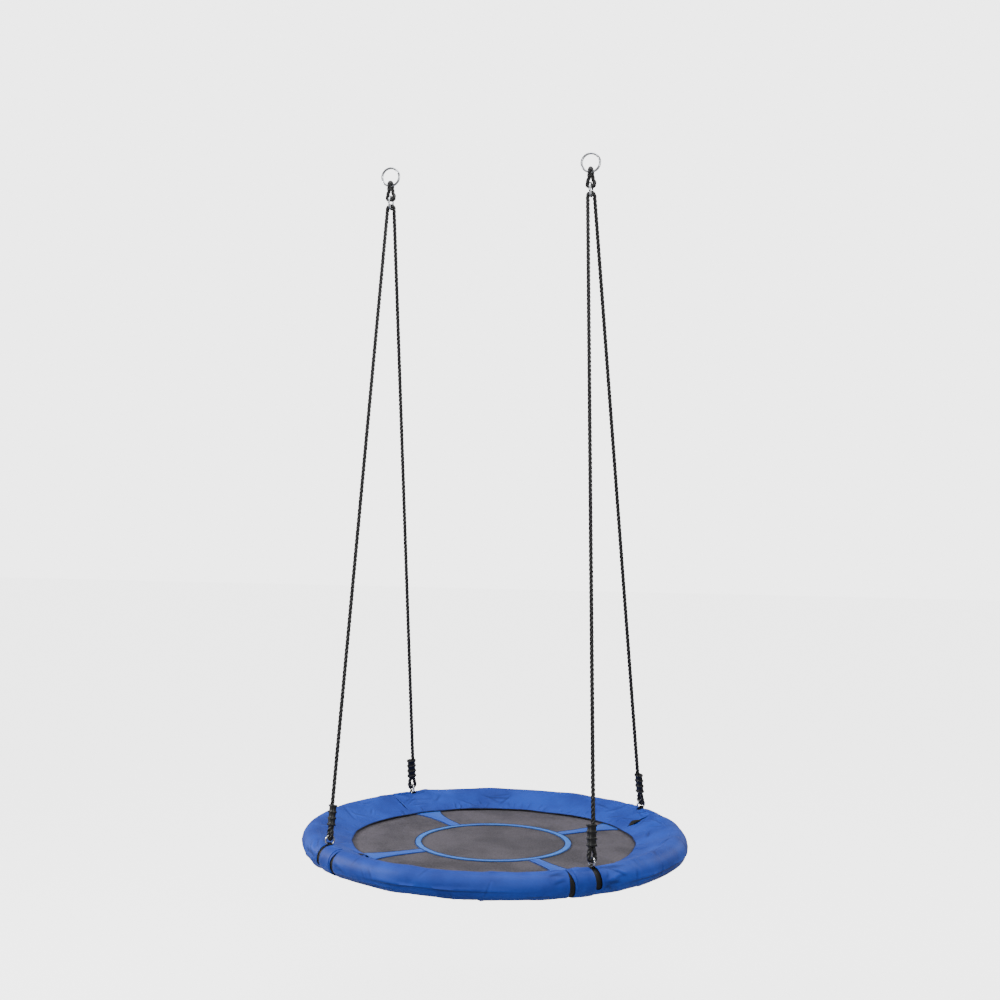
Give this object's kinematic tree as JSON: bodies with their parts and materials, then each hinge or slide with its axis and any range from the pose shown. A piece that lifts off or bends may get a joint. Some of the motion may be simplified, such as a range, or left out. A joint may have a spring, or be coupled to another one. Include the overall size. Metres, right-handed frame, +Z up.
{
  "type": "saucer nest swing",
  "caption": "Round nest swing seat with a padded tubular rim and flat woven mat, hung on twisted ropes from a pair of steel rings.",
  "frame": {"origin": "midway between the points where hooks bear inside the two top rings", "axes": "+X from the left hanging point to the right one, +Z up, the front of the seat at -Y"},
  "size_m": [1, 1, 1.8184],
  "materials": {
    "ring_steel": "welded ring of round wire, bright zinc plated",
    "rope": "black three-strand laid polyester rope",
    "cuff": "moulded black polypropylene",
    "webbing": "black woven polyester webbing",
    "frame_steel": "powder-coated round steel tube",
    "bolt_steel": "zinc plated steel",
    "foam": "closed-cell foam tube",
    "cover": "blue coated oxford polyester",
    "tab": "blue coated oxford polyester",
    "binding": "black polyester tape",
    "mat": "grey woven polyester mesh",
    "ring_band": "sky-blue coated polyester",
    "spoke": "blue coated polyester",
    "piping": "dark blue edge piping"
  },
  "bodies": {
    "top_rings": {"top_ring_left": "ring_steel", "top_ring_right": "ring_steel"},
    "slings": {"sling_left": "rope", "sling_right": "rope"},
    "left_ropes": {"lower_ring_left": "ring_steel", "rope_left": "rope", "rope_cuff_left_front": "cuff", "rope_cuff_left_back": "cuff", "rim_ring_left_front": "ring_steel", "rim_ring_left_back": "ring_steel"},
    "right_ropes": {"lower_ring_right": "ring_steel", "rope_right": "rope", "rope_cuff_right_front": "cuff", "rope_cuff_right_back": "cuff", "rim_ring_right_front": "ring_steel", "rim_ring_right_back": "ring_steel"},
    "saucer": {"hang_strap_left_front": "webbing", "hang_strap_left_back": "webbing", "hang_strap_right_front": "webbing", "hang_strap_right_back": "webbing", "frame_tube_1": "frame_steel", "frame_tube_2": "frame_steel", "frame_tube_3": "frame_steel", "frame_tube_4": "frame_steel", "frame_bolts": "bolt_steel", "frame_nuts": "bolt_steel", "foam_sleeve_1": "foam", "foam_sleeve_2": "foam", "foam_sleeve_3": "foam", "foam_sleeve_4": "foam", "cover_panel_front": "cover", "cover_panel_right": "cover", "cover_panel_back": "cover", "cover_panel_left": "cover", "strap_tab_left_front": "tab", "strap_tab_left_back": "tab", "strap_tab_right_front": "tab", "strap_tab_right_back": "tab", "seam_binding_left_front": "binding", "seam_binding_left_back": "binding", "seam_binding_right_front": "binding", "seam_binding_right_back": "binding", "seat_mat": "mat", "centre_ring": "ring_band", "spoke_left_front": "spoke", "spoke_left_back": "spoke", "spoke_right_front": "spoke", "spoke_right_back": "spoke", "skirt_piping": "piping"}
  },
  "joints": [
    {"name": "swing", "type": "hinge", "parent": "top_rings", "child": "slings", "pos_m": [0, 0, -0.045], "axis": [1, 0, 0], "range_deg": [-45, 45]},
    {"name": "sway_left", "type": "hinge", "parent": "slings", "child": "left_ropes", "pos_m": [-0.273, 0, -0.074], "axis": [0, 1, 0], "range_deg": [-6, 6]},
    {"name": "sway_right", "type": "hinge", "parent": "slings", "child": "right_ropes", "pos_m": [0.273, 0, -0.074], "axis": [0, 1, 0], "range_deg": [-6, 6]},
    {"name": "saucer_level", "type": "hinge", "parent": "left_ropes", "child": "saucer", "pos_m": [-0.33163, 0, -1.7478], "axis": [0, 1, 0], "range_deg": [-5.2, 5.2]}
  ],
  "couplings": [
    {"joint": "sway_right", "follows": "sway_left", "ratio": 1},
    {"joint": "saucer_level", "follows": "sway_left", "ratio": -0.8232}
  ]
}
